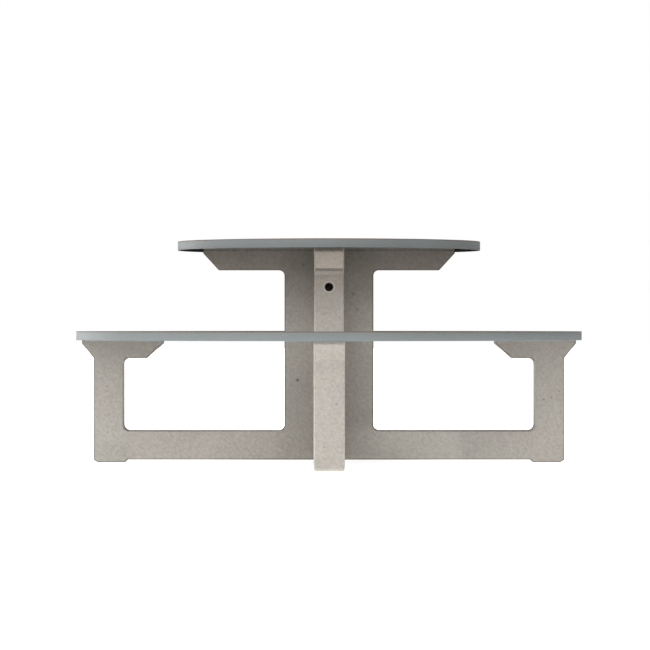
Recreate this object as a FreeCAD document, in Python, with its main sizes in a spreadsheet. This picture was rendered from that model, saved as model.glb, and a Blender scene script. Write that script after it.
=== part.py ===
import FreeCAD, Part
import math
import os
import re

import Sketcher

# Round concrete table with a ring seat, in millimetres.
# Two flat concrete frames cross at right angles, halved into each other at the column.
# They carry a round table board and a ring seat made of two half rings.
# The origin is on the floor under the middle of the table, with +Z up.
# The main frame stands along X and the cross frame along Y.

SIZES = {
    # boards
    "table_height": 750,
    "table_diameter": 1030,
    "seat_height": 445,
    "seat_outer_diameter": 1720,
    "seat_width": 355,
    "seat_seam": 2,
    "face_thickness": 2,
    "core_thickness": 26,
    "backing_thickness": 2,
    "band_thickness": 3,
    # concrete frames
    "frame_thickness": 100,
    "column_width": 302,
    "leg_width": 100,
    "beam_depth": 99,
    "foot_rise": 9,
    "foot_length": 115,
    "foot_bevel_run": 13,
    "foot_bevel_rise": 8,
    "table_lip": 88,
    "arm_depth": 66,
    "arm_tip": 10,
    "arm_bevel_run": 52,
    "seat_lip": 21,
    "bracket_depth": 61,
    "bracket_tip": 10,
    "bracket_overhang": 40,
    "bracket_inner_reach": 135,
    "bracket_bevel_run": 57,
    "corner_radius": 20,
    "arris": 4,
    # halved joint
    "joint_clearance": 2,
    "joint_pad_thickness": 5,
    "shim_length": 120,
    # tie through the joint
    "tie_drop": 125,
    "tie_diameter": 16,
    "tie_hole_clearance": 1,
    "tie_head_diameter": 24,
    "tie_head_length": 16,
    "tie_recess_depth": 60,
    "tie_recess_clearance": 1,
    "tie_socket_width": 14,
    "tie_socket_depth": 8,
    "tie_washer_thickness": 3,
    "tie_nut_grip": 22,
    "tie_nut_web": 4,
    "thread_clearance": 0.1,
    "thread_spare": 2,
    # board fixings
    "pad_thickness": 0.5,
    "pad_inset": 10,
    "bolt_diameter": 10,
    "bolt_head_diameter": 20,
    "bolt_sink": 0.4,
    "bolt_grip": 38,
    "bolt_clearance": 0.3,
    "bolt_socket_width": 6,
    "bolt_socket_depth": 4,
    "ferrule_wall": 3,
    "ferrule_base": 5,
    # reinforcement
    "bar_diameter": 8,
    "bar_gap": 2,
    "bar_cover": 20,
    # length by which a cutting shape passes the face that it cuts
    "overrun": 20,
}

# Where the bolts stand along an arm or a bracket, and to each side of a bracket's middle
TABLE_BOLT_SHARE = 0.55
SEAT_BOLT_SHARE = 0.5
SEAT_BOLT_SIDE_SHARE = 0.25

FULL_TURN = 360
HALF_TURN = 180
QUARTER_TURN = 90
ARM_COUNT = 4
HEXAGON = 6
BAR_FACES = 8
SIDES = (-1, 1)
SAME_PLACE = 0.01
UPWARD = FreeCAD.Vector(0, 0, 1)

# Rules worked out from the sizes
BOARD = "(face_thickness + core_thickness + backing_thickness)"
SEAT_INSIDE = "(seat_outer_diameter / 2 - seat_width)"
HALF_FRAME = "(frame_thickness / 2)"
HALF_COLUMN = "(column_width / 2)"
ARM_TOP = f"(table_height - {BOARD} - pad_thickness)"
ARM_UNDERSIDE = f"({ARM_TOP} - arm_depth)"
ARM_REACH = "(table_diameter / 2 - table_lip)"
ARM_BEVEL_START = f"({ARM_REACH} - arm_bevel_run)"
BRACKET_TOP = f"(seat_height - {BOARD} - pad_thickness)"
BRACKET_UNDERSIDE = f"({BRACKET_TOP} - bracket_depth)"
BRACKET_OUTSIDE = "(seat_outer_diameter / 2 - seat_lip)"
HALF_LENGTH = f"({BRACKET_OUTSIDE} - bracket_overhang)"
LEG_INSIDE = f"({HALF_LENGTH} - leg_width)"
BRACKET_INSIDE = f"({LEG_INSIDE} - bracket_inner_reach)"
BRACKET_BEVEL_START = f"({BRACKET_INSIDE} + bracket_bevel_run)"
BEAM_TOP = "(foot_rise + beam_depth)"
SLOT_SIDE = f"({HALF_FRAME} + joint_clearance)"
JOINT_FLOOR = f"((foot_rise + {ARM_TOP} - joint_pad_thickness) / 2)"
JOINT_ROOF = f"({JOINT_FLOOR} + joint_pad_thickness)"
PAD_SIDE = f"({HALF_FRAME} - pad_inset)"
TIE_HEIGHT = f"({ARM_TOP} - tie_drop)"
TIE_HOLE = "(tie_diameter / 2 + tie_hole_clearance)"
TIE_RECESS = "(tie_head_diameter / 2 + tie_recess_clearance)"
TIE_WASHER = "(tie_head_diameter / 2 + tie_recess_clearance / 2)"
TIE_SEAT = f"({HALF_COLUMN} - tie_recess_depth)"
FERRULE_WIDTH = "(bolt_diameter + 2 * ferrule_wall)"
FERRULE_BORE = "(bolt_grip + thread_spare)"
FERRULE_DEPTH = f"({FERRULE_BORE} + ferrule_base)"

# Right half of a frame, from the middle of the beam's underside round to the middle of the top
FRAME_HALF_OUTLINE = [
    ("0", "foot_rise"),
    (f"{HALF_LENGTH} - foot_length", "foot_rise"),
    (f"{HALF_LENGTH} - foot_length + foot_rise", "0"),
    (f"{HALF_LENGTH} - foot_bevel_run", "0"),
    (HALF_LENGTH, "foot_bevel_rise"),
    (HALF_LENGTH, BRACKET_UNDERSIDE),
    (BRACKET_OUTSIDE, f"{BRACKET_TOP} - bracket_tip"),
    (BRACKET_OUTSIDE, BRACKET_TOP),
    (BRACKET_INSIDE, BRACKET_TOP),
    (BRACKET_INSIDE, f"{BRACKET_TOP} - bracket_tip"),
    (BRACKET_BEVEL_START, BRACKET_UNDERSIDE),
    (LEG_INSIDE, BRACKET_UNDERSIDE),
    (LEG_INSIDE, BEAM_TOP),
    (HALF_COLUMN, BEAM_TOP),
    (HALF_COLUMN, ARM_UNDERSIDE),
    (ARM_BEVEL_START, ARM_UNDERSIDE),
    (ARM_REACH, f"{ARM_TOP} - arm_tip"),
    (ARM_REACH, ARM_TOP),
    ("0", ARM_TOP),
]

ROUNDED_CORNERS = [
    (LEG_INSIDE, BRACKET_UNDERSIDE),
    (LEG_INSIDE, BEAM_TOP),
    (HALF_COLUMN, BEAM_TOP),
    (HALF_COLUMN, ARM_UNDERSIDE),
]

# Bolts of one arm or bracket: how far out from the table's axis, and how far to the side
TABLE_BOLT_REACH = f"({HALF_COLUMN} + {TABLE_BOLT_SHARE} * ({ARM_REACH} - {HALF_COLUMN}))"
SEAT_BOLT_REACH = f"({BRACKET_INSIDE} + {SEAT_BOLT_SHARE} * ({BRACKET_OUTSIDE} - {BRACKET_INSIDE}))"
TABLE_BOLTS = [(TABLE_BOLT_REACH, "0")]
SEAT_BOLTS = [
    (SEAT_BOLT_REACH, f"({side * SEAT_BOLT_SIDE_SHARE} * frame_thickness)")
    for side in SIDES
]

doc = FreeCAD.newDocument("RingSeatTable")
sheet = doc.addObject("Spreadsheet::Sheet", "Sizes")
for row, (alias, size) in enumerate(SIZES.items(), start=1):
    sheet.set(f"A{row}", alias)
    sheet.set(f"B{row}", str(size))
    sheet.setAlias(f"B{row}", alias)
doc.recompute()
nodes = []


def cells(rule):
    """Turn a rule in plain size names into an expression on the sheet."""
    return re.sub(r"[a-z_]+", lambda word: f"Sizes.{word[0]}" if word[0] in SIZES else word[0], rule)


def value(rule):
    """Work out what a rule comes to now."""
    return float(sheet.evalExpression(cells(rule)))


def new_body(label):
    """Start a body for one piece."""
    body = doc.addObject("PartDesign::Body", label)
    body.Label = label
    return body


def turned(angle):
    """Give the placement of a piece turned about the table's axis."""
    return FreeCAD.Placement(FreeCAD.Vector(), FreeCAD.Rotation(UPWARD, angle))


def keep(item, label, turn=0, height="0"):
    """Name a finished piece, turn and lift it into place and put it on the list of nodes."""
    item.Label = label
    item.Placement = turned(turn)
    item.setExpression(".Placement.Base.z", cells(height))
    nodes.append(item)
    return item


def cut_out(base, tool, label, turn=0):
    """Take a tool away from a piece and keep what is left as a node."""
    base.Placement = turned(turn)
    cut = doc.addObject("Part::Cut", f"{label}_cut")
    cut.Base = base
    cut.Tool = tool
    return keep(cut, label)


def origin_part(body, role):
    """Find one of the body's origin planes or axes."""
    return next(part for part in body.Origin.OriginFeatures if part.Role == role)


def add_sketch(body, plane, across="0", up="0", out="0"):
    """Add a sketch on an origin plane of the body, moved along its own three directions."""
    sketch = body.newObject("Sketcher::SketchObject", f"{body.Name}_sketch")
    sketch.AttachmentSupport = [(origin_part(body, plane), "")]
    sketch.MapMode = "FlatFace"
    for axis, rule in zip("xyz", (across, up, out)):
        sketch.setExpression(f".AttachmentOffset.Base.{axis}", cells(rule))
    return sketch


def dimension(sketch, kind, rule, *where):
    """Add one dimension to a sketch and tie it to the sheet."""
    index = sketch.addConstraint(Sketcher.Constraint(kind, *where, value(rule)))
    sketch.setExpression(f"Constraints[{index}]", cells(rule))


def draw_outline(sketch, corners):
    """Draw a closed outline of straight edges, each corner dimensioned from the origin."""
    places = [FreeCAD.Vector(value(across), value(up), 0) for across, up in corners]
    lines = [
        sketch.addGeometry(Part.LineSegment(start, end))
        for start, end in zip(places, places[1:] + places[:1])
    ]
    for line, following, (across, up) in zip(lines, lines[1:] + lines[:1], corners):
        sketch.addConstraint(Sketcher.Constraint("Coincident", line, 2, following, 1))
        dimension(sketch, "DistanceX", across, -1, 1, line, 1)
        dimension(sketch, "DistanceY", up, -1, 1, line, 1)


def draw_rectangle(sketch, left, right, bottom, top):
    """Draw an upright rectangle between four rules."""
    draw_outline(sketch, [(left, bottom), (right, bottom), (right, top), (left, top)])


def draw_hexagon(sketch, width, across="0", up="0"):
    """Draw a hexagon about a centre, given its width across flats."""
    reach = f"{width} / sqrt(3)"
    corners = []
    for corner in range(HEXAGON):
        angle = math.radians(corner * FULL_TURN / HEXAGON)
        corners.append((
            f"{across} + {math.cos(angle):.9f} * {reach}",
            f"{up} + {math.sin(angle):.9f} * {reach}",
        ))
    draw_outline(sketch, corners)


def draw_circle(sketch, radius, across="0", up="0"):
    """Draw a circle with its centre dimensioned from the origin."""
    centre = FreeCAD.Vector(value(across), value(up), 0)
    circle = sketch.addGeometry(Part.Circle(centre, UPWARD, value(radius)))
    dimension(sketch, "Radius", radius, circle)
    dimension(sketch, "DistanceX", across, -1, 1, circle, 3)
    dimension(sketch, "DistanceY", up, -1, 1, circle, 3)


def draw_table_outline(sketch, inset):
    """Draw the round outline of the table board, moved inwards by an inset."""
    draw_circle(sketch, f"table_diameter / 2 - {inset}")


def draw_seat_outline(sketch, inset):
    """Draw the outline of the front half ring of the seat, moved inwards by an inset."""
    end = f"-(seat_seam / 2 + {inset})"
    arcs = []
    for radius in (f"seat_outer_diameter / 2 - {inset}", f"{SEAT_INSIDE} + {inset}"):
        dip = math.asin(-value(end) / value(radius))
        ring = Part.Circle(FreeCAD.Vector(), UPWARD, value(radius))
        arc = sketch.addGeometry(Part.ArcOfCircle(ring, math.pi + dip, 2 * math.pi - dip))
        sketch.addConstraint(Sketcher.Constraint("Coincident", arc, 3, -1, 1))
        dimension(sketch, "Radius", radius, arc)
        arcs.append(arc)
    outer, inner = arcs
    for point in (1, 2):
        ends = [sketch.getPoint(arc, point) for arc in arcs]
        line = sketch.addGeometry(Part.LineSegment(*ends))
        sketch.addConstraint(Sketcher.Constraint("Coincident", line, 1, outer, point))
        sketch.addConstraint(Sketcher.Constraint("Coincident", line, 2, inner, point))
        sketch.addConstraint(Sketcher.Constraint("Horizontal", line))
        dimension(sketch, "DistanceY", end, -1, 1, line, 1)


def add_pad(body, sketch, length, both_ways=False, downward=False):
    """Thicken a sketch by a length, to one side or about its plane."""
    pad = body.newObject("PartDesign::Pad", f"{body.Name}_pad")
    pad.Profile = sketch
    pad.setExpression("Length", cells(length))
    pad.SideType = "Symmetric" if both_ways else "One side"
    pad.Reversed = downward
    doc.recompute()
    return pad


def add_pocket(body, sketch, depth=None):
    """Cut a sketch into a body, to a depth or right through to both sides."""
    before = body.Tip.Shape.Volume
    pocket = body.newObject("PartDesign::Pocket", f"{body.Name}_pocket")
    pocket.Profile = sketch
    if depth is None:
        pocket.Type = "ThroughAll"
        pocket.SideType = "Symmetric"
    else:
        pocket.setExpression("Length", cells(depth))
    doc.recompute()
    if pocket.Shape.Volume >= before:
        raise ValueError(f"{pocket.Name} removes nothing")
    return pocket


def add_revolution(body, sketch):
    """Turn a sketch about its own upright axis."""
    revolution = body.newObject("PartDesign::Revolution", f"{body.Name}_revolution")
    revolution.Profile = sketch
    revolution.ReferenceAxis = (sketch, ["V_Axis"])
    revolution.Angle = FULL_TURN
    doc.recompute()
    return revolution


def add_mirror(body, features, plane="YZ_Plane"):
    """Repeat features on the other side of one of the body's middle planes."""
    mirror = body.newObject("PartDesign::Mirrored", f"{body.Name}_mirror")
    mirror.Originals = features
    mirror.MirrorPlane = (origin_part(body, plane), [""])
    body.Tip = mirror
    doc.recompute()
    return mirror


def repeat_on_arms(body, features):
    """Repeat features on the four arms of the crossed frames."""
    pattern = body.newObject("PartDesign::PolarPattern", f"{body.Name}_arms")
    pattern.Originals = features
    pattern.Axis = (origin_part(body, "Z_Axis"), [""])
    pattern.Angle = FULL_TURN
    pattern.Occurrences = ARM_COUNT
    body.Tip = pattern
    doc.recompute()
    return pattern


def work_edges(body, kind, size_name, size, wanted):
    """Round or bevel those edges of the body's last feature that pass a test."""
    base = body.Tip
    names = [f"Edge{number}" for number, edge in enumerate(base.Shape.Edges, start=1) if wanted(edge)]
    work = body.newObject(f"PartDesign::{kind}", f"{body.Name}_{kind.lower()}")
    work.Base = (base, names)
    work.setExpression(size_name, cells(size))
    doc.recompute()
    return work


def is_rounded_corner(edge):
    """Tell whether an edge runs through a frame at one of its rounded corners."""
    centre = edge.CenterOfMass
    return any(
        math.hypot(abs(centre.x) - value(across), centre.z - value(up)) < SAME_PLACE
        for across, up in ROUNDED_CORNERS
    )


def is_open_arris(edge):
    """Tell whether an edge lies on one of a frame's broad faces, away from the boards."""
    centre = edge.CenterOfMass
    on_face = abs(abs(centre.y) - value(HALF_FRAME)) < SAME_PLACE
    under_board = any(abs(centre.z - value(top)) < SAME_PLACE for top in (ARM_TOP, BRACKET_TOP))
    return on_face and not under_board


def build_frame_blank(label):
    """Cast a whole frame along X, with rounded corners, bevelled arrises and seats for the sockets."""
    body = new_body(label)
    profile = add_sketch(body, "XZ_Plane")
    draw_outline(profile, FRAME_HALF_OUTLINE)
    half = add_pad(body, profile, "frame_thickness", both_ways=True)
    add_mirror(body, [half])
    work_edges(body, "Fillet", "Radius", "corner_radius", is_rounded_corner)
    work_edges(body, "Chamfer", "Size", "arris", is_open_arris)
    seats = []
    for top, bolts in ((ARM_TOP, TABLE_BOLTS), (BRACKET_TOP, SEAT_BOLTS)):
        sketch = add_sketch(body, "XY_Plane", out=top)
        for reach, aside in bolts:
            draw_hexagon(sketch, FERRULE_WIDTH, reach, aside)
        seats.append(add_pocket(body, sketch, FERRULE_DEPTH))
    add_mirror(body, seats)
    return body


def cut_slot(body, bottom, top):
    """Cut the slot of the halved joint into a frame."""
    slot = add_sketch(body, "XZ_Plane")
    draw_rectangle(slot, f"-{SLOT_SIDE}", SLOT_SIDE, bottom, top)
    add_pocket(body, slot)


def build_main_frame():
    """Make the frame along X, with its slot open at the bottom and a hole for the tie."""
    body = build_frame_blank("main_frame_concrete")
    cut_slot(body, "-overrun", JOINT_ROOF)
    hole = add_sketch(body, "XZ_Plane")
    draw_circle(hole, TIE_HOLE, "0", TIE_HEIGHT)
    add_pocket(body, hole)
    return body


def build_cross_frame():
    """Make the other frame, with its slot open at the top and a recess for each end of the tie."""
    body = build_frame_blank("cross_frame_concrete")
    cut_slot(body, JOINT_FLOOR, f"{ARM_TOP} + overrun")
    hole = add_sketch(body, "YZ_Plane")
    draw_circle(hole, TIE_HOLE, "0", TIE_HEIGHT)
    add_pocket(body, hole)
    recess = add_sketch(body, "YZ_Plane", out=HALF_COLUMN)
    draw_circle(recess, TIE_RECESS, "0", TIE_HEIGHT)
    add_mirror(body, [add_pocket(body, recess, "tie_recess_depth")])
    return body


def add_bar(label, start, end):
    """Add one straight bar between two points, either along X or upright."""
    bar = doc.addObject("Part::Prism", label)
    bar.Polygon = BAR_FACES
    level = start[2] == end[2]
    low, high = (start[0], end[0]) if level else (start[2], end[2])
    heading = FreeCAD.Vector(1, 0, 0) if level else UPWARD
    bar.Placement = FreeCAD.Placement(FreeCAD.Vector(), FreeCAD.Rotation(UPWARD, heading))
    bar.setExpression("Circumradius", cells("bar_diameter / 2"))
    bar.setExpression("Height", cells(f"{high} - {low}"))
    for axis, rule in zip("xyz", start):
        bar.setExpression(f".Placement.Base.{axis}", cells(rule))
    return bar


def level_bars(near, far, aside, height, split):
    """Give the ends of a bar along a frame, or of two bars that stop short of the slot."""
    if split:
        right = ((near, aside, height), (far, aside, height))
        left = ((f"-{far}", aside, height), (f"-{near}", aside, height))
        return [left, right]
    return [((f"-{far}", aside, height), (far, aside, height))]


def build_rebar(label, slot_at_top, turn=0):
    """Lay the bars of one frame: along its top, beam and brackets, and up its legs and column."""
    layer = "((bar_diameter + bar_gap) / 2)"
    outer_layers = [f"({side} * ({HALF_FRAME} - bar_cover))" for side in SIDES]
    top = f"({ARM_TOP} - bar_cover)"
    bracket = f"({BRACKET_TOP} - bar_cover)"
    beam_low = "(foot_rise + bar_cover)"
    beam_high = f"({BEAM_TOP} - bar_cover)"
    slot_end = f"({SLOT_SIDE} + bar_cover)"
    leg_outside = f"({HALF_LENGTH} - bar_cover)"
    leg_inside = f"({LEG_INSIDE} + bar_cover)"
    column = f"({HALF_COLUMN} - bar_cover)"

    runs = []
    for aside in outer_layers:
        runs += level_bars(slot_end, ARM_BEVEL_START, aside, top, split=slot_at_top)
    for height in (beam_low, beam_high):
        runs += level_bars(slot_end, leg_outside, layer, height, split=not slot_at_top)
    runs += level_bars(BRACKET_BEVEL_START, HALF_LENGTH, layer, bracket, split=True)
    uprights = [(leg, f"-{layer}", "bar_cover", bracket) for leg in (leg_outside, leg_inside)]
    for aside in outer_layers if slot_at_top else [f"-{layer}"]:
        uprights.append((column, aside, beam_low, f"({top} - 2 * {layer})"))
    for reach, aside, foot, head in uprights:
        for side in SIDES:
            runs.append(((f"{side} * {reach}", aside, foot), (f"{side} * {reach}", aside, head)))

    cage = doc.addObject("Part::Compound", f"{label}_cage")
    cage.Links = [add_bar(f"{label}_bar", start, end) for start, end in runs]
    return keep(cage, label, turn)


def build_frames():
    """Build both concrete frames round their bars."""
    main_bars = build_rebar("main_frame_rebar", slot_at_top=False)
    cut_out(build_main_frame(), main_bars, "main_frame")
    cross_bars = build_rebar("cross_frame_rebar", slot_at_top=True, turn=QUARTER_TURN)
    cut_out(build_cross_frame(), cross_bars, "cross_frame", QUARTER_TURN)


def build_shims(label, height, tie_hole, turn):
    """Build a pair of packers for the two sides of the halved joint, flat on a frame along X."""
    shims = new_body(label)
    sketch = add_sketch(shims, "XZ_Plane", out=HALF_FRAME)
    draw_rectangle(
        sketch, f"-{PAD_SIDE}", PAD_SIDE, f"{height} - shim_length / 2", f"{height} + shim_length / 2"
    )
    if tie_hole:
        draw_circle(sketch, TIE_HOLE, "0", height)
    add_mirror(shims, [add_pad(shims, sketch, "joint_clearance")], "XZ_Plane")
    return keep(shims, label, turn)


def build_joint():
    """Build the rubber pad and the packers that fill the halved joint."""
    pad = new_body("joint_bearing_pad")
    sketch = add_sketch(pad, "XY_Plane", out=JOINT_FLOOR)
    draw_rectangle(sketch, f"-{PAD_SIDE}", PAD_SIDE, f"-{PAD_SIDE}", PAD_SIDE)
    add_pad(pad, sketch, "joint_pad_thickness")
    keep(pad, "joint_bearing_pad")
    build_shims("upper_joint_shims", TIE_HEIGHT, tie_hole=True, turn=0)
    middle_of_lower_half = f"((foot_rise + {JOINT_FLOOR}) / 2)"
    build_shims("lower_joint_shims", middle_of_lower_half, tie_hole=False, turn=QUARTER_TURN)


def build_tie():
    """Build the bolt, washers and sleeve nut that tie the joint together along Y."""
    washer_face = f"({TIE_SEAT} + tie_washer_thickness)"
    head_end = f"({washer_face} + tie_head_length)"
    bolt_tip = f"({washer_face} + tie_nut_grip)"
    bore_end = f"({bolt_tip} + thread_spare)"
    nut_end = f"({bore_end} + tie_nut_web + tie_socket_depth)"
    shank, head, bore = "tie_diameter / 2", "tie_head_diameter / 2", "tie_diameter / 2 + thread_clearance"

    bolt = new_body("tie_bolt")
    sketch = add_sketch(bolt, "XY_Plane")
    draw_outline(sketch, [
        ("0", f"-{head_end}"), (head, f"-{head_end}"), (head, f"-{washer_face}"),
        (shank, f"-{washer_face}"), (shank, bolt_tip), ("0", bolt_tip),
    ])
    add_revolution(bolt, sketch)
    drive = add_sketch(bolt, "XZ_Plane", out=head_end)
    draw_hexagon(drive, "tie_socket_width")
    add_pocket(bolt, drive, "tie_socket_depth")
    keep(bolt, "tie_bolt", height=TIE_HEIGHT)

    washers = new_body("tie_washers")
    sketch = add_sketch(washers, "XZ_Plane", out=TIE_SEAT)
    draw_circle(sketch, TIE_WASHER)
    draw_circle(sketch, TIE_HOLE)
    add_mirror(washers, [add_pad(washers, sketch, "tie_washer_thickness")], "XZ_Plane")
    keep(washers, "tie_washers", height=TIE_HEIGHT)

    nut = new_body("tie_sleeve_nut")
    sketch = add_sketch(nut, "XY_Plane")
    draw_outline(sketch, [
        (bore, f"-{washer_face}"), (head, f"-{washer_face}"), (head, f"-{nut_end}"),
        ("0", f"-{nut_end}"), ("0", f"-{bore_end}"), (bore, f"-{bore_end}"),
    ])
    add_revolution(nut, sketch)
    drive = add_sketch(nut, "XZ_Plane", out=nut_end)
    draw_hexagon(drive, "tie_socket_width")
    add_pocket(nut, drive, "tie_socket_depth")
    keep(nut, "tie_sleeve_nut", HALF_TURN, TIE_HEIGHT)


def build_bolts(label, bolts, height):
    """Build the countersunk bolts of one board, with a hexagon socket in each head."""
    body = new_body(label)
    head, shank = "bolt_head_diameter / 2", "bolt_diameter / 2"
    neck = f"-bolt_sink - ({head} - {shank})"
    end = f"-{BOARD} - pad_thickness - bolt_grip"
    features = []
    for reach, aside in bolts:
        sketch = add_sketch(body, "XZ_Plane", reach, height, aside)
        draw_outline(sketch, [
            ("0", end), (shank, end), (shank, neck), (head, "-bolt_sink"), ("0", "-bolt_sink"),
        ])
        features.append(add_revolution(body, sketch))
        drive = add_sketch(body, "XY_Plane", reach, f"-{aside}", f"{height} - bolt_sink")
        draw_hexagon(drive, "bolt_socket_width")
        features.append(add_pocket(body, drive, "bolt_socket_depth"))
    repeat_on_arms(body, features)
    return keep(body, label)


def build_bolt_holes(label, bolts, height):
    """Build the shapes that cut the bolts' countersunk holes through a board."""
    body = new_body(label)
    head, shank = "(bolt_head_diameter / 2 + bolt_clearance)", "(bolt_diameter / 2 + bolt_clearance)"
    neck = f"-bolt_sink - ({head} - {shank})"
    end = f"-{BOARD} - pad_thickness - overrun"
    features = []
    for reach, aside in bolts:
        sketch = add_sketch(body, "XZ_Plane", reach, height, aside)
        draw_outline(sketch, [
            ("0", end), (shank, end), (shank, neck),
            (head, "-bolt_sink"), (head, "overrun"), ("0", "overrun"),
        ])
        features.append(add_revolution(body, sketch))
    repeat_on_arms(body, features)
    return body


def build_sockets(label, bolts, top):
    """Build the threaded sockets that are cast into the arms, with blind bores for the bolts."""
    body = new_body(label)
    shell = add_sketch(body, "XY_Plane", out=top)
    bore = add_sketch(body, "XY_Plane", out=top)
    for reach, aside in bolts:
        draw_hexagon(shell, FERRULE_WIDTH, reach, aside)
        draw_circle(bore, "bolt_diameter / 2 + thread_clearance", reach, aside)
    tubes = add_pad(body, shell, FERRULE_DEPTH, downward=True)
    bores = add_pocket(body, bore, FERRULE_BORE)
    repeat_on_arms(body, [tubes, bores])
    return keep(body, label)


def build_bearing_pads(label, start, bolt_reach, end, top):
    """Build the rubber pads between the arms and a board, one on each side of an arm's bolts."""
    body = new_body(label)
    sketch = add_sketch(body, "XY_Plane", out=top)
    bolt_room = f"({FERRULE_WIDTH} / 2 + pad_inset)"
    draw_rectangle(sketch, f"{start} + pad_inset", f"{bolt_reach} - {bolt_room}", f"-{PAD_SIDE}", PAD_SIDE)
    draw_rectangle(sketch, f"{bolt_reach} + {bolt_room}", f"{end} - pad_inset", f"-{PAD_SIDE}", PAD_SIDE)
    repeat_on_arms(body, [add_pad(body, sketch, "pad_thickness")])
    return keep(body, label)


def build_board(label, draw, height, holes, turn=0):
    """Build one board: a core on a backing sheet, an edge band round both and a face sheet over all."""
    underside = f"({height} - {BOARD})"
    core_bottom = f"({underside} + backing_thickness)"
    layers = (
        ("core", core_bottom, "core_thickness", ("band_thickness",)),
        ("edge_band", underside, "core_thickness + backing_thickness", ("0", "band_thickness")),
        ("face", f"({height} - face_thickness)", "face_thickness", ("0",)),
        ("backing", underside, "backing_thickness", ("band_thickness",)),
    )
    for layer, bottom, thickness, insets in layers:
        body = new_body(f"{label}_{layer}_blank")
        sketch = add_sketch(body, "XY_Plane", out=bottom)
        for inset in insets:
            draw(sketch, inset)
        add_pad(body, sketch, thickness)
        cut_out(body, holes, f"{label}_{layer}", turn)


def build_table():
    """Build the round table board with its fixings."""
    holes = build_bolt_holes("table_bolt_holes", TABLE_BOLTS, "table_height")
    build_board("table", draw_table_outline, "table_height", holes)
    build_bearing_pads("table_pads", HALF_COLUMN, TABLE_BOLT_REACH, ARM_REACH, ARM_TOP)
    build_bolts("table_bolts", TABLE_BOLTS, "table_height")
    build_sockets("table_sockets", TABLE_BOLTS, ARM_TOP)


def build_seat():
    """Build the two half rings of the seat with their fixings."""
    holes = build_bolt_holes("seat_bolt_holes", SEAT_BOLTS, "seat_height")
    build_board("seat_front", draw_seat_outline, "seat_height", holes)
    build_board("seat_rear", draw_seat_outline, "seat_height", holes, HALF_TURN)
    build_bearing_pads("seat_pads", BRACKET_INSIDE, SEAT_BOLT_REACH, BRACKET_OUTSIDE, BRACKET_TOP)
    build_bolts("seat_bolts", SEAT_BOLTS, "seat_height")
    build_sockets("seat_sockets", SEAT_BOLTS, BRACKET_TOP)


def check_document():
    """Stop if any object failed or any piece has no valid shape."""
    doc.recompute()
    for item in doc.Objects:
        if {"Invalid", "Error"} & set(item.State):
            raise RuntimeError(f"{item.Label} failed: {item.State}")
    for node in nodes:
        if node.Shape.isNull() or not node.Shape.isValid():
            raise RuntimeError(f"{node.Label} has no valid shape")


def write_parts():
    """Write each piece to its own file."""
    os.makedirs("parts", exist_ok=True)
    for node in nodes:
        node.Shape.exportStep(f"parts/{node.Label}.step")
        print(f"{node.Label}: solids {len(node.Shape.Solids)}, volume {node.Shape.Volume:.0f}")


build_frames()
build_joint()
build_tie()
build_table()
build_seat()
check_document()
write_parts()
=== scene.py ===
"""Dress the round concrete table with its ring seat: finishes, eased boards, studio and camera."""
import logging
import math
from abc import ABC, abstractmethod
from dataclasses import dataclass, field, replace
from enum import Enum
from typing import Any, Sequence

import bmesh
import bpy
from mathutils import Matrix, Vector


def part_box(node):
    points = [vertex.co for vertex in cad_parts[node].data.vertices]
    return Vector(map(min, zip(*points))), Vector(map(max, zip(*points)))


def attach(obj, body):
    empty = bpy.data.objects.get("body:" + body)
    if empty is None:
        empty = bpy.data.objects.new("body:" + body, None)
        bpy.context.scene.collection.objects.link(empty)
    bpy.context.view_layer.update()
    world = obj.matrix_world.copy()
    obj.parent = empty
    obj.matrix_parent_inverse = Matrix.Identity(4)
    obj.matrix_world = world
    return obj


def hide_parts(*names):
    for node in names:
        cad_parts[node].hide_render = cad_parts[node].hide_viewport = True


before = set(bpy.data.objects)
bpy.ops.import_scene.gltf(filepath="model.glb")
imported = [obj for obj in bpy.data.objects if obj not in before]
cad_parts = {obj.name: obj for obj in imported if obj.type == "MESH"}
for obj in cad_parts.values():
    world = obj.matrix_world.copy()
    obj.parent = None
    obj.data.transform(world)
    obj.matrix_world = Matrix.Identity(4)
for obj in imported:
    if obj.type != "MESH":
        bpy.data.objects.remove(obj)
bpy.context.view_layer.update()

LOG = logging.getLogger("ring_seat_table")
BODY = "root"
MM = 0.001
WHITE = (1.0, 1.0, 1.0, 1.0)

# Part of the noise's range that a pattern runs over, and a wider part for softer patterns
NOISE_SPAN = (0.3, 0.7)
SOFT_NOISE_SPAN = (0.25, 0.75)

# Sockets of the mix node that carry colours
MIX_FIRST = 6
MIX_SECOND = 7
MIX_RESULT = 2

# Corners over this angle stay sharp, and faces at least this level stay flat
SHARP_ANGLE = math.radians(50)
LEVEL_NORMAL = 0.999

Colour = tuple[float, float, float]
Triple = tuple[float, float, float]
Place = tuple[float, float]
Span = tuple[float, float]
Stop = tuple[float, float]
Socket = bpy.types.NodeSocket


class Slot(Enum):
    """Material slots of the record."""

    BROWN_FACE = "brown_face"
    GREY_BAND = "grey_band"
    BLACK_BACKING = "black_backing"
    BOARD_CORE = "board_core"
    STAINLESS = "stainless"
    GALVANISED = "galvanised"
    BAR_STEEL = "bar_steel"
    RUBBER = "rubber"
    PACKER = "packer"


class Layer(Enum):
    """Layers of a board, as their solids are named."""

    FACE = "face"
    EDGE_BAND = "edge_band"
    BACKING = "backing"
    CORE = "core"


class Half(Enum):
    """Halves of the ring seat, by the sign of their side of the table."""

    FRONT = -1
    REAR = 1


class Axis(Enum):
    """Axes of the table: along the main frame, along the cross frame, and up."""

    X = 0
    Y = 1
    Z = 2


class End(Enum):
    """Ends of a wall, by the index of the ring there."""

    FIRST = 0
    LAST = -1


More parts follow.
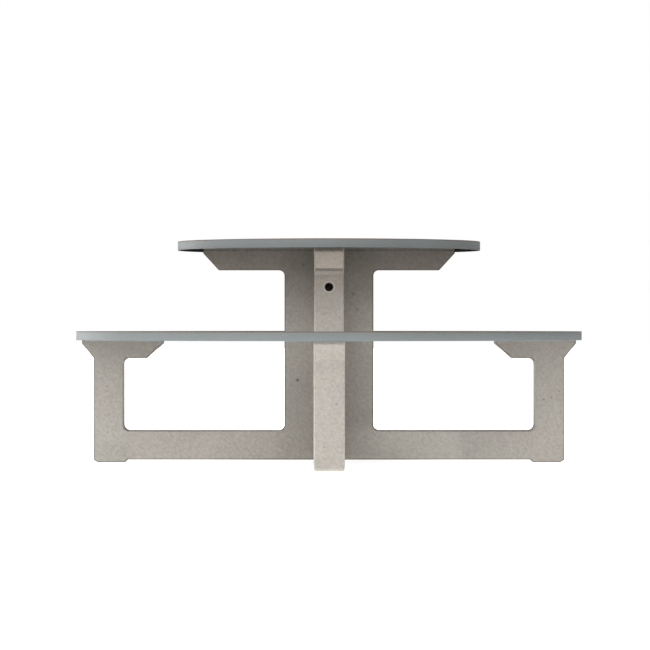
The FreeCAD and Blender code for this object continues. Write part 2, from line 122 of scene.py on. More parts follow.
@dataclass(frozen=True)
class Pattern:
    """Cloudy noise over a surface, which may lighten and darken a colour by its depth."""

    per_metre: Triple
    octaves: float = 3
    fineness: float = 0.6
    turn: Triple = (0.0, 0.0, 0.0)
    depth: float = 0.0


class Graph:
    """Writes the nodes of one material or world."""

    def __init__(self, tree: bpy.types.NodeTree) -> None:
        """Start with an empty tree."""
        self.tree = tree
        self.tree.nodes.clear()

    def add(self, kind: str, inputs: dict[Any, Any] | None = None, **settings: Any) -> bpy.types.Node:
        """Add a node, set its options and fill or link its inputs.

        Args:
            kind: the node's type.
            inputs: a socket to link or a value to set, by the input's name or index.
            settings: the node's own options.

        Returns:
            The new node.
        """
        node = self.tree.nodes.new(kind)
        for name, setting in settings.items():
            setattr(node, name, setting)
        for key, source in (inputs or {}).items():
            if isinstance(source, Socket):
                self.tree.links.new(source, node.inputs[key])
            else:
                node.inputs[key].default_value = source
        return node

    def place(self, scale: Triple = (1.0, 1.0, 1.0), turn: Triple = (0.0, 0.0, 0.0)) -> Socket:
        """Give the piece's own coordinates in metres, turned and then scaled.

        Args:
            scale: factor along each axis after turning.
            turn: angles about the three axes, in radians.

        Returns:
            The socket with the coordinates.
        """
        coordinates = self.add("ShaderNodeTexCoord").outputs["Object"]
        turned = self.add("ShaderNodeMapping", {"Vector": coordinates, "Rotation": turn})
        return self.add("ShaderNodeMapping", {"Vector": turned.outputs[0], "Scale": scale}).outputs[0]

    def facing(self, axis: Axis) -> Socket:
        """Tell how squarely the surface faces along an axis, from -1 to 1."""
        normal = self.add("ShaderNodeTexCoord").outputs["Normal"]
        return self.add("ShaderNodeSeparateXYZ", {0: normal}).outputs[axis.value]

    def pattern(self, pattern: Pattern) -> Socket:
        """Give a pattern's noise, from 0 to 1.

        Args:
            pattern: the pattern.

        Returns:
            The noise's socket.
        """
        inputs = {
            "Vector": self.place(pattern.per_metre, pattern.turn), "Scale": 1.0,
            "Detail": pattern.octaves, "Roughness": pattern.fineness,
        }
        return self.add("ShaderNodeTexNoise", inputs).outputs[0]

    def spread(
        self, value: Socket, low: float, high: float, start: float = 0.0, end: float = 1.0
    ) -> Socket:
        """Map a value's range from low to high smoothly onto start to end.

        Args:
            value: the value to map.
            low: where the range begins.
            high: where the range ends.
            start: result at low.
            end: result at high.

        Returns:
            The mapped socket.
        """
        inputs = {"Value": value, "From Min": low, "From Max": high, "To Min": start, "To Max": end}
        return self.add("ShaderNodeMapRange", inputs, interpolation_type="SMOOTHSTEP").outputs[0]

    def steps(self, value: Socket, stops: Sequence[Stop]) -> Any:
        """Give a value that passes smoothly from stop to stop.

        Args:
            value: what the stops are measured along.
            stops: pairs of a place along the value and the result there, in rising order.

        Returns:
            The result's socket, or the result itself where there is one stop.
        """
        total: Any = stops[0][1]
        for (low, start), (high, end) in zip(stops, stops[1:]):
            total = self.maths("ADD", total, self.spread(value, low, high, 0.0, end - start))
        return total

    def maths(self, operation: str, *values: Any) -> Socket:
        """Combine values by a sum, a difference or the like."""
        return self.add("ShaderNodeMath", dict(enumerate(values)), operation=operation).outputs[0]

    def times(self, first: Any, second: Any) -> Socket:
        """Multiply two values."""
        return self.maths("MULTIPLY", first, second)

    def less(self, first: Any, second: Any) -> Socket:
        """Take the second value from the first."""
        return self.maths("SUBTRACT", first, second)

    def mix(self, share: Any, first: Any, second: Any, blend: str = "MIX") -> Socket:
        """Mix two colours.

        Args:
            share: how much of the second colour shows.
            first: colour or socket.
            second: colour or socket.
            blend: how the second lies over the first.

        Returns:
            The mixed colour's socket.
        """
        inputs = {0: share, MIX_FIRST: self._rgba(first), MIX_SECOND: self._rgba(second)}
        return self.add("ShaderNodeMix", inputs, data_type="RGBA", blend_type=blend).outputs[MIX_RESULT]

    def shade(self, colour: Any, factor: Socket) -> Socket:
        """Multiply a colour by a grey factor."""
        return self.mix(1.0, colour, factor, "MULTIPLY")

    def vary(self, colour: Any, noise: Socket, depth: float, span: Span = NOISE_SPAN) -> Socket:
        """Darken and lighten a colour along a noise by up to a share of itself."""
        return self.shade(colour, self.spread(noise, *span, 1 - depth, 1 + depth))

    def bump(self, height: Socket, distance: float, normal: Socket | None = None) -> Socket:
        """Turn a height from 0 to 1 into a surface normal.

        Args:
            height: the relief.
            distance: the relief's real height in metres.
            normal: a normal to add the relief to.

        Returns:
            The normal's socket.
        """
        inputs: dict[str, Any] = {"Height": height, "Distance": distance, "Strength": 1.0}
        if normal is not None:
            inputs["Normal"] = normal
        return self.add("ShaderNodeBump", inputs).outputs[0]

    @staticmethod
    def _rgba(colour: Any) -> Any:
        """Give a colour its fourth number, and leave a socket as it is."""
        return (*colour, 1.0) if isinstance(colour, tuple) else colour


@dataclass(frozen=True)
class Finish:
    """A surface finish that becomes one material."""

    name: str
    colour: Colour
    roughness: float = 0.5
    gloss: float = 0.5
    metal: float = 0.0

    def material(self) -> bpy.types.Material:
        """Give the finish's material, made once.

        Returns:
            The material.
        """
        found = bpy.data.materials.get(self.name)
        if found:
            return found
        made = bpy.data.materials.new(self.name)
        made.use_nodes = True
        graph = Graph(made.node_tree)
        shader = graph.add("ShaderNodeBsdfPrincipled", {
            "Base Color": (*self.colour, 1.0), "Roughness": self.roughness,
            "Specular IOR Level": self.gloss, "Metallic": self.metal,
        })
        graph.add("ShaderNodeOutputMaterial", {"Surface": shader.outputs[0]})
        for name, socket in self.paint(graph).items():
            graph.tree.links.new(socket, shader.inputs[name])
        return made

    def paint(self, graph: Graph) -> dict[str, Socket]:
        """Give the sockets that vary over the surface, by the shader input that they feed."""
        return {}

    def dress(self, piece: bpy.types.Object) -> None:
        """Cover a piece in this finish alone."""
        piece.data.materials.clear()
        piece.data.materials.append(self.material())


@dataclass(frozen=True)
class Pits:
    """Scattered round pits of many sizes, in a share of places that lie a spacing apart."""

    spacing: float
    largest_radius: float
    share: float
    turn: Triple = (0.0, 0.0, 0.0)
    slope_share: float = 1 / 3

    def mask(self, graph: Graph) -> Socket:
        """Give a mask of the pits.

        Args:
            graph: the material's nodes.

        Returns:
            A socket that is 1 in a pit and 0 elsewhere.
        """
        inputs = {"Vector": graph.place(turn=self.turn), "Scale": 1 / self.spacing}
        cells = graph.add("ShaderNodeTexVoronoi", inputs)
        chance = graph.add("ShaderNodeSeparateColor", {0: cells.outputs["Color"]}).outputs[0]
        largest = self.largest_radius / self.spacing
        radius = graph.spread(chance, 1 - self.share, 1.0, 0.0, largest)
        depth = graph.less(radius, cells.outputs["Distance"])
        return graph.spread(depth, 0.0, largest * self.slope_share)


@dataclass(frozen=True)
class Mark:
    """A round mark in the concrete: a hole that an air bubble left, or a painted highlight ring or painted
    shade rim round a cast hole.
    """

    spot: Place
    radius: float
    strength: float
    colour: Colour = (0.15, 0.14, 0.13)
    fade_share: float = 0.75

    def lay(self, graph: Graph, place: Socket, depth: float, colour: Any) -> Socket:
        """Lay the mark over a colour.

        Args:
            graph: the material's nodes.
            place: the piece's own coordinates.
            depth: where the marked face lies along Y.
            colour: the colour under the mark.

        Returns:
            The marked colour's socket.
        """
        centre = (self.spot[0], depth, self.spot[1])
        measure = graph.add("ShaderNodeVectorMath", {0: place, 1: centre}, operation="DISTANCE")
        core = self.radius * (1 - self.fade_share)
        inside = graph.spread(measure.outputs["Value"], self.radius, core, 0.0, self.strength)
        return graph.mix(inside, colour, self.colour)


@dataclass(frozen=True)
class MarkedFace:
    """A face that looks to the front or the back, with its depth along Y and its marks."""

    depth: float
    marks: tuple[Mark, ...]


@dataclass(frozen=True)
class PaintedLightPatch:
    """A soft-edged patch of painted light or painted shade on the concrete, its corners given along the
    frame and in height.
    """

    low: Place
    high: Place
    tone: float
    soft: float = 50 * MM

    def mask(self, graph: Graph, along: Socket, height: Socket) -> Any:
        """Give a mask of the patch.

        Args:
            graph: the material's nodes.
            along: the place along the frame.
            height: the height over the floor.

        Returns:
            A socket that is 1 in the patch and fades to 0 round it.
        """
        inside: Any = 1.0
        for value, low, high in zip((along, height), self.low, self.high):
            inside = graph.times(inside, graph.spread(value, low - self.soft, low))
            inside = graph.times(inside, graph.spread(value, high + self.soft, high))
        return inside


@dataclass(frozen=True)
class Concrete(Finish):
    """Fair-faced cast concrete: faint clouds, fine diagonal streaks, grain and blowholes, with painted
    light and shade on arrises, undersides, window reveals, end faces and patches.
    """

    face_axis: Axis = Axis.Y
    light_and_shade_scale: float = 1.0
    warm: Colour = (0.385, 0.359, 0.320)
    cool: Colour = (0.352, 0.331, 0.297)
    clouds: Pattern = Pattern((3.5, 3.5, 3.5), octaves=2)
    mottle: Pattern = Pattern((60, 60, 60), octaves=4, fineness=0.7, depth=0.05)
    mottle_height: float = 0.25 * MM
    streaks: Pattern = Pattern((30, 130, 130), turn=(0.0, math.radians(-42), math.radians(38)), depth=0.10)
    grain: Pattern = Pattern((230, 230, 230), fineness=0.75, depth=0.08)
    grain_height_share: float = 0.25
    large_pits: Pits = Pits(80 * MM, 2.6 * MM, 0.3)
    small_pits: Pits = Pits(12 * MM, 1.1 * MM, 0.5, turn=(0.4, 0.7, 0.2))
    small_pit_share: float = 0.5
    pit_colour: Colour = (0.16, 0.15, 0.14)
    pit_depth: float = 0.8 * MM
    matt_span: Span = (0.82, 0.96)
    marked_faces: tuple[MarkedFace, ...] = ()
    painted_light_patches: tuple[PaintedLightPatch, ...] = ()

    # Painted light and shade on faces, and how squarely a face has to look one way to take them
    arris_light_and_shade: float = 1.0
    arris_span: Span = (0.2, 0.45)
    face_span: Span = (0.97, 0.85)
    # painted light on faces inside the windows
    reveal_light: float = 1.0
    reveal_span: Span = (0.1, 0.4)
    # painted shade: faces that look down are darkened, as if in shadow
    painted_under_shade: float = 0.5
    under_span: Span = (-0.86, -0.97)
    end_span: Span = (0.3, 0.6)

    # Painted light and shade on end faces by height, and on everything by the distance from the column
    # painted light and shade: end faces lighter or darker by height, with a painted shadow line under the
    # arms
    end_light_and_shade: tuple[Stop, ...] = (
        (0.0, 0.91), (0.2, 1.0), (0.35, 1.0), (0.37, 0.955), (0.5, 1.0), (0.58, 1.13), (0.635, 1.25),
        (0.646, 1.05), (0.65, 0.5), (0.653, 0.5), (0.655, 1.36), (0.7, 1.3), (0.714, 0.76),
    )
    length_light_and_shade: tuple[Stop, ...] = ((0.0, 1.0),)

    def run_axis(self) -> Axis:
        """Give the level axis that the frame runs along."""
        return Axis.X if self.face_axis is Axis.Y else Axis.Y

    def paint(self, graph: Graph) -> dict[str, Socket]:
        """Paint the cast surface.

        Args:
            graph: the material's nodes.

        Returns:
            Colour, roughness and relief.
        """
        place = graph.place()
        patterns = (self.mottle, self.streaks, self.grain)
        mottle, streaks, grain = (graph.pattern(pattern) for pattern in patterns)
        warm, cool = (tuple(self.light_and_shade_scale * part for part in tone) for tone in (self.warm, self.cool))
        colour = graph.mix(graph.spread(graph.pattern(self.clouds), *NOISE_SPAN), warm, cool)
        for noise, pattern in zip((mottle, streaks, grain), patterns):
            colour = graph.vary(colour, noise, pattern.depth, SOFT_NOISE_SPAN)
        small_pits = graph.times(self.small_pits.mask(graph), self.small_pit_share)
        pits = graph.maths("MAXIMUM", self.large_pits.mask(graph), small_pits)
        colour = graph.mix(pits, colour, self.pit_colour)
        for face in self.marked_faces:
            for mark in face.marks:
                colour = mark.lay(graph, place, face.depth, colour)
        relief = graph.less(graph.times(grain, self.grain_height_share), pits)
        return {
            "Base Color": graph.shade(colour, self.tone(graph, place)),
            "Roughness": graph.spread(mottle, *NOISE_SPAN, *self.matt_span),
            "Normal": graph.bump(relief, self.pit_depth, graph.bump(mottle, self.mottle_height)),
        }

    def tone(self, graph: Graph, place: Socket) -> Socket:
        """Multiply in painted shade on undersides, painted light and shade along the frame, on faces by
        where they look, and in patches.

        Args:
            graph: the material's nodes.
            place: the piece's own coordinates.

        Returns:
            The factor for the colour.
        """
        parts = graph.add("ShaderNodeSeparateXYZ", {0: place}).outputs
        along = parts[self.run_axis().value]
        height = parts[Axis.Z.value]
        # painted shade: down-facing faces darker
        total = graph.spread(graph.facing(Axis.Z), *self.under_span, 1.0, self.painted_under_shade)
        # painted shade near the column and painted light at the frame's ends
        total = graph.times(total, graph.steps(graph.maths("ABSOLUTE", along), self.length_light_and_shade))
        masked_tones = self.face_tones(graph, along, height)
        # painted light and shade in patches
        masked_tones += [(painted_patch.mask(graph, along, height), painted_patch.tone) for painted_patch in self.painted_light_patches]
        for mask, tone in masked_tones:
            total = graph.times(total, graph.maths("MULTIPLY_ADD", mask, graph.less(tone, 1.0), 1.0))
        return total

    def face_tones(self, graph: Graph, along: Socket, height: Socket) -> list[tuple[Any, Any]]:
        """Give the painted shade and highlight on outer arrises, the painted light in window reveals and
        the painted light and shade on faces that look out along the frame.

        Args:
            graph: the material's nodes.
            along: the place along the frame.
            height: the height over the floor.

        Returns:
            Pairs of a mask and the tone there.
        """
        square = graph.maths("ABSOLUTE", graph.facing(self.face_axis))
        outward = graph.times(graph.facing(self.run_axis()), graph.maths("SIGN", along))
        off_flank = graph.spread(square, *self.arris_span)
        off_face = graph.spread(square, *self.face_span)
        into_window = graph.less(graph.facing(Axis.Z), outward)
        reveal = graph.times(graph.spread(into_window, *self.reveal_span), off_face)
        outer_arris = graph.times(graph.times(off_flank, off_face), graph.less(1.0, reveal))
        end_face = graph.times(graph.spread(outward, *self.end_span), graph.less(1.0, off_flank))
        return [
            # painted shade on the main frame's arrises, painted highlight on the cross frame's
            (outer_arris, self.arris_light_and_shade),
            # painted light in the window reveals
            (reveal, self.reveal_light),
            # painted light and shade on end faces, by height
            (end_face, graph.steps(height, self.end_light_and_shade)),
        ]


@dataclass(frozen=True)
class WoodLaminate(Finish):
    """Brown laminate with a fine, low wood grain along X and a dull cut edge."""

    light: Colour = (0.37, 0.225, 0.125)
    dark: Colour = (0.225, 0.128, 0.066)
    cut_edge: Colour = (0.14, 0.113, 0.082)
    cut_edge_span: Span = (0.75, 0.35)
    boards: Pattern = Pattern((0.8, 7, 7), octaves=2)
    board_tones: Span = (0.88, 1.1)
    figure: Pattern = Pattern((1.6, 38, 38), octaves=4, fineness=0.65)
    figure_share: float = 0.6
    fibres: Pattern = Pattern((9, 420, 420), fineness=0.7)
    fibre_share: float = 0.4
    fibre_height_share: float = 0.5
    grain_span: Span = (0.34, 0.66)
    pores: Pattern = Pattern((26, 900, 900), octaves=1)
    pore_span: Span = (0.62, 0.72)
    pore_tone: float = 0.72
    pore_depth: float = 0.12 * MM
    satin_span: Span = (0.42, 0.58)

    def paint(self, graph: Graph) -> dict[str, Socket]:
        """Paint the grain.

        Args:
            graph: the material's nodes.

        Returns:
            Colour, roughness and relief.
        """
        patterns = (self.boards, self.figure, self.fibres, self.pores)
        boards, figure, fibres, pore_noise = (graph.pattern(pattern) for pattern in patterns)
        pores = graph.spread(pore_noise, *self.pore_span)
        fine_grain = graph.times(fibres, self.fibre_share)
        grain = graph.maths("MULTIPLY_ADD", figure, self.figure_share, fine_grain)
        colour = graph.mix(graph.spread(grain, *self.grain_span), self.light, self.dark)
        colour = graph.shade(colour, graph.spread(boards, *NOISE_SPAN, *self.board_tones))
        colour = graph.shade(colour, graph.spread(pores, 0.0, 1.0, 1.0, self.pore_tone))
        at_edge = graph.spread(graph.facing(Axis.Z), *self.cut_edge_span)
        relief = graph.less(graph.times(fibres, self.fibre_height_share), pores)
        return {
            "Base Color": graph.mix(at_edge, colour, self.cut_edge),
            "Roughness": graph.spread(fibres, *NOISE_SPAN, *self.satin_span),
            "Normal": graph.bump(relief, self.pore_depth),
        }


@dataclass(frozen=True)
class SatinSheet(Finish):
    """Even plastic sheet or band with a faint tone drift and a fine pressed texture."""

    clouds: Pattern = Pattern((6, 6, 6))
    texture: Pattern = Pattern((700, 700, 700), octaves=2)
    texture_height: float = 0.04 * MM
    tone_drift: float = 0.03
    roughness_drift: float = 0.1

    def paint(self, graph: Graph) -> dict[str, Socket]:
        """Paint the sheet.

        Args:
            graph: the material's nodes.

        Returns:
            Colour, roughness and relief.
        """
        texture = graph.pattern(self.texture)
        colour = graph.vary(self.colour, graph.pattern(self.clouds), self.tone_drift)
        smoothest = self.roughness * (1 - self.roughness_drift)
        roughest = self.roughness * (1 + self.roughness_drift)
        return {
            "Base Color": graph.vary(colour, texture, self.tone_drift),
            "Roughness": graph.spread(texture, *NOISE_SPAN, smoothest, roughest),
            "Normal": graph.bump(texture, self.texture_height),
        }


@dataclass(frozen=True)
class WorkedSteel(Finish):
    """Steel with a fine brushed or rolled grain and dull patches."""

    grain: Pattern = Pattern((900, 900, 900), octaves=2)
    grain_height: float = 0.02 * MM
    patches: Pattern = Pattern((160, 160, 160), octaves=4)
    patch: Colour = (0.4, 0.39, 0.37)
    patch_span: Span = (0.45, 0.75)
    dull_span: Span = (0.3, 0.8)
    dull_shares: Span = (0.8, 1.4)

    def paint(self, graph: Graph) -> dict[str, Socket]:
        """Paint the metal.

        Args:
            graph: the material's nodes.

        Returns:
            Colour, roughness and relief.
        """
        patches = graph.pattern(self.patches)
        smoothest, roughest = (self.roughness * share for share in self.dull_shares)
        return {
            "Base Color": graph.mix(graph.spread(patches, *self.patch_span), self.colour, self.patch),
            "Roughness": graph.spread(patches, *self.dull_span, smoothest, roughest),
            "Normal": graph.bump(graph.pattern(self.grain), self.grain_height),
        }


@dataclass(frozen=True)
class PressedChips(Finish):
    """Raw panel core of pressed chips."""

    chip: Colour = (0.36, 0.24, 0.12)
    chips: Pattern = Pattern((180, 520, 900))
    chip_span: Span = (0.35, 0.65)
    chip_height: float = 0.2 * MM

    def paint(self, graph: Graph) -> dict[str, Socket]:
        """Paint the chips.

        Args:
            graph: the material's nodes.

        Returns:
            Colour and relief.
        """
        chips = graph.pattern(self.chips)
        return {
            "Base Color": graph.mix(graph.spread(chips, *self.chip_span), self.colour, self.chip),
            "Normal": graph.bump(chips, self.chip_height),
        }


@dataclass(frozen=True)
class GlowingFloor(Finish):
    """Pale floor that glows more with the distance from its middle, so that shadows on it stay faint."""

    glow: tuple[Stop, ...] = ((0.2, 0.9), (0.5, 1.45), (0.75, 1.55), (1.6, 1.55), (1.9, 2.1))

    def paint(self, graph: Graph) -> dict[str, Socket]:
        """Paint the glow."""
        reach = graph.add("ShaderNodeVectorMath", {0: graph.place()}, operation="LENGTH").outputs["Value"]
        return {"Emission Strength": graph.steps(reach, self.glow)}


FINISHES: dict[Slot, Finish] = {
    Slot.BROWN_FACE: WoodLaminate("brown_laminate", (0.3, 0.176, 0.095), gloss=0.0),
    Slot.GREY_BAND: SatinSheet(
        "grey_edge_band", (0.226, 0.245, 0.246), roughness=0.55, gloss=0.05,
        texture=Pattern((40, 40, 1500), octaves=2),
    ),
    Slot.BLACK_BACKING: SatinSheet(
        "black_backing_sheet", (0.006, 0.0065, 0.0063), roughness=0.02, texture_height=0.0,
    ),
    Slot.BOARD_CORE: PressedChips("panel_core", (0.5, 0.36, 0.2), roughness=0.8, gloss=0.2),
    Slot.STAINLESS: WorkedSteel("stainless_bolts", (0.62, 0.61, 0.59), roughness=0.3, metal=1.0),
    Slot.GALVANISED: WorkedSteel(
        "galvanised_steel", (0.1, 0.102, 0.104), roughness=0.8, gloss=0.1, metal=0.2,
        patch=(0.05, 0.05, 0.052),
    ),
    Slot.BAR_STEEL: WorkedSteel(
        "rolled_bar_steel", (0.16, 0.12, 0.1), roughness=0.7, metal=0.6, patch=(0.22, 0.1, 0.05),
    ),
    Slot.RUBBER: SatinSheet("bearing_rubber", (0.018, 0.018, 0.018), roughness=0.85, gloss=0.2),
    Slot.PACKER: SatinSheet("packer_plastic", (0.05, 0.05, 0.053), roughness=0.6, gloss=0.3),
}


def add_object(name: str, data: bpy.types.ID) -> bpy.types.Object:
    """Put a new object in the scene.

    Args:
        name: the object's name.
        data: its mesh, light or camera.

    Returns:
        The object.
    """
    made = bpy.data.objects.new(name, data)
    bpy.context.scene.collection.objects.link(made)
    return made


def link_piece(mesh: bpy.types.Mesh, slot: Slot, *replaced: str) -> None:
    """Put a new piece in the scene, on the table's body, in the place of its solids.

    Args:
        mesh: the piece's mesh, whose name it takes.
        slot: the slot of its finish.
        replaced: the nodes that it stands for.
    """
    piece = add_object(mesh.name, mesh)
    FINISHES[slot].dress(piece)
    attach(piece, BODY)
    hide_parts(*replaced)
    LOG.info("%s: %d faces, stands for %s", piece.name, len(mesh.polygons), ", ".join(replaced))


def dress_solids(finish: Finish, *nodes: str) -> None:
    """Cover solids that keep their own shape in a finish.

    Args:
        finish: the finish.
        nodes: the solids' names.
    """
    for node in nodes:
        finish.dress(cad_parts[node])
        LOG.info("%s: covered in %s", node, finish.name)


def rounded(radius: float, steps: int) -> list[Place]:
    """Give how far in and how far down each point of a rounded top edge lies, from the side to the top.

    Args:
        radius: the edge's radius.
        steps: straight steps in the quarter round.

    Returns:
        Pairs of inset and drop.
    """
    angles = [math.pi / 2 * step / steps for step in range(steps + 1)]
    return [(radius * (1 - math.cos(a)), radius * (1 - math.sin(a))) for a in angles]


def circle(centre: Place, radius: float, count: int) -> list[Place]:
    """Give the points of a circle, anticlockwise."""
    angles = [2 * math.pi * index / count for index in range(count)]
    return [(centre[0] + radius * math.cos(a), centre[1] + radius * math.sin(a)) for a in angles]


class Mould:
    """Builds one mesh from rings of points and closes it."""

    def __init__(self, name: str) -> None:
        """Start an empty mesh.

        Args:
            name: the mesh's name.
        """
        self.name = name
        self.work = bmesh.new()
        self.walls: list[list[list[bmesh.types.BMVert]]] = []

    def wall(self, rings: Sequence[tuple[list[Place], float]], closed: bool = False) -> None:
        """Build a smooth wall through rings of points, each at its own height.

        Args:
            rings: outlines with as many points each, and their heights.
            closed: whether the last ring joins the first.
        """
        made = [[self.work.verts.new((x, y, height)) for x, y in points] for points, height in rings]
        following = made[1:] + made[:1] if closed else made[1:]
        for lower, upper in zip(made, following):
            for index in range(len(lower)):
                after = (index + 1) % len(lower)
                self.work.faces.new((lower[index], lower[after], upper[after], upper[index]))
        self.walls.append(made)

    def cap(self, end: End) -> None:
        """Fill the flat between the rings at one end of the walls.

        Args:
            end: which end.
        """
        edges = []
        for rings in self.walls:
            ring = rings[end.value]
            edges += [self.work.edges.get(pair) for pair in zip(ring, ring[1:] + ring[:1])]
        bmesh.ops.triangle_fill(self.work, edges=edges, use_beauty=True, normal=(0, 0, 1))

    def finish(self) -> bpy.types.Mesh:
        """Close the mesh, with its faces outward, its corners sharp and its flats flat.

        Returns:
            The mesh.
        """
        bmesh.ops.recalc_face_normals(self.work, faces=self.work.faces)
        mesh = bpy.data.meshes.new(self.name)
        self.work.to_mesh(mesh)
        self.work.free()
        mesh.set_sharp_from_angle(angle=SHARP_ANGLE)
        for face in mesh.polygons:
            face.use_smooth = abs(face.normal.z) < LEVEL_NORMAL
        return mesh


def island_centres(node: str, reach: float) -> list[Place]:
    """Find the middles of the separate upright solids in a node.

    Args:
        node: the node's name.
        reach: a distance larger than one solid and smaller than the room between two.

    Returns:
        The middle of each solid, seen from above.
    """
    groups: list[list[Vector]] = []
    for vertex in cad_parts[node].data.vertices:
        spot = vertex.co.xy
        near = next((group for group in groups if (group[0] - spot).length < reach), None)
        if near is None:
            groups.append([spot.copy()])
        else:
            near.append(spot.copy())
    middles = []
    for group in groups:
        low = Vector((min(spot.x for spot in group), min(spot.y for spot in group)))
        high = Vector((max(spot.x for spot in group), max(spot.y for spot in group)))
        middles.append(tuple((low + high) / 2))
    return middles


@dataclass
class Board(ABC):
    """A laminated board: a brown face sheet, a grey edge band and a black backing sheet round its core."""

    label: str
    bolts: str
    edge_round: float = 1.4 * MM
    edge_steps: int = 4
    joint_groove: float = 0.25 * MM
    bolt_reach: float = 30 * MM
    head_radius: float = 10 * MM
    head_sink: float = 0.4 * MM
    shank_radius: float = 5 * MM
    hole_clearance: float = 0.3 * MM
    hole_round: float = 0.3 * MM
    hole_steps: int = 2
    hole_points: int = 48
    holes: list[Place] = field(default_factory=list)

    @abstractmethod
    def outline(self, inset: float) -> list[Place]:
        """Give the board's outline, moved inwards by an inset."""

    def holds(self, spot: Place) -> bool:
        """Tell whether a bolt stands in this board."""
        return True

    def node(self, layer: Layer) -> str:
        """Name one of the board's solids."""
        return f"{self.label}_{layer.value}"

    def level(self, layer: Layer) -> Span:
        """Give the lowest and highest level of one of the board's solids."""
        low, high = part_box(self.node(layer))
        return low.z, high.z

    def band_thickness(self) -> float:
        """Work out how thick the edge band is."""
        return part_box(self.node(Layer.FACE))[1].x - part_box(self.node(Layer.CORE))[1].x

    def build(self) -> None:
        """Build the three visible layers."""
        self.holes = [spot for spot in island_centres(self.bolts, self.bolt_reach) if self.holds(spot)]
        self.build_face()
        self.build_band()
        self.build_backing()

    def build_face(self) -> None:
        """Build the face sheet, with rounded edges and countersunk holes."""
        bottom, top = self.level(Layer.FACE)
        edge = [(self.joint_groove, bottom), (0.0, bottom + self.joint_groove)]
        edge += [(inset, top - drop) for inset, drop in rounded(self.edge_round, self.edge_steps)]
        mould = Mould(f"{self.label}_face_sheet")
        mould.wall([(self.outline(inset), height) for inset, height in edge])
        wide = self.head_radius + self.hole_clearance
        narrow = wide - (top - bottom - self.head_sink)
        hole = [(narrow, bottom), (wide, top - self.head_sink)]
        hole_edge = rounded(self.hole_round, self.hole_steps)[1:]
        hole += [(wide + inset, top - drop) for inset, drop in hole_edge]
        for spot in self.holes:
            mould.wall([(circle(spot, radius, self.hole_points), height) for radius, height in hole])
        mould.cap(End.FIRST)
        mould.cap(End.LAST)
        link_piece(mould.finish(), Slot.BROWN_FACE, self.node(Layer.FACE))

    def build_band(self) -> None:
        """Build the edge band, with a rounded lower edge."""
        bottom, top = self.level(Layer.EDGE_BAND)
        thickness = self.band_thickness()
        edge = [(thickness, top), (thickness, bottom)]
        lower_edge = reversed(rounded(self.edge_round, self.edge_steps))
        edge += [(inset, bottom + drop) for inset, drop in lower_edge]
        edge += [(0.0, top - self.joint_groove), (self.joint_groove, top)]
        mould = Mould(f"{self.label}_edge_banding")
        mould.wall([(self.outline(inset), height) for inset, height in edge], closed=True)
        link_piece(mould.finish(), Slot.GREY_BAND, self.node(Layer.EDGE_BAND))

    def build_backing(self) -> None:
        """Build the backing sheet inside the band, with holes for the bolts."""
        bottom, top = self.level(Layer.BACKING)
        inset = self.band_thickness()
        groove = self.joint_groove
        edge = [(inset + groove, bottom), (inset, bottom + groove), (inset, top)]
        mould = Mould(f"{self.label}_backing_sheet")
        mould.wall([(self.outline(step), height) for step, height in edge])
        radius = self.shank_radius + self.hole_clearance
        for spot in self.holes:
            mould.wall([(circle(spot, radius, self.hole_points), height) for _, height in edge])
        mould.cap(End.FIRST)
        mould.cap(End.LAST)
        link_piece(mould.finish(), Slot.BLACK_BACKING, self.node(Layer.BACKING))


@dataclass
class TableBoard(Board):
    """The round table board."""

    edge_points: int = 320

    def outline(self, inset: float) -> list[Place]:
        """Give the round outline, moved inwards by an inset."""
        return circle((0.0, 0.0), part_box(self.node(Layer.FACE))[1].x - inset, self.edge_points)


@dataclass
class SeatBoard(Board):
    """One half of the ring seat."""

    half: Half = Half.FRONT
    arc_points: int = 200

    def outline(self, inset: float) -> list[Place]:
        """Give the outline of the half ring, moved inwards by an inset.

        Args:
            inset: how far inwards.

        Returns:
            The points, round the outer edge and back along the inner one.
        """
        low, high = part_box(self.node(Layer.FACE))
        seam = min(abs(low.y), abs(high.y)) + inset
        outer = max(abs(low.y), abs(high.y)) - inset
        inner = self._inner_radius() + inset
        return self._arc(outer, seam) + self._arc(inner, seam)[::-1]

    def holds(self, spot: Place) -> bool:
        """Tell whether a bolt stands on this half's side of the seam."""
        return spot[1] * self.half.value > 0

    def _inner_radius(self) -> float:
        """Measure the radius of the ring's inner edge on its solid."""
        return min(vertex.co.xy.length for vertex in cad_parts[self.node(Layer.FACE)].data.vertices)

    def _arc(self, radius: float, seam: float) -> list[Place]:
        """Give the points of an arc from one end of the seam to the other.

        Args:
            radius: the arc's radius.
            seam: how far its ends lie from the middle line.

        Returns:
            The points, from right to left.
        """
        start = math.asin(seam / radius)
        turn = math.pi - 2 * start
        angles = [start + turn * index / self.arc_points for index in range(self.arc_points + 1)]
        return [(radius * math.cos(a), self.half.value * radius * math.sin(a)) for a in angles]


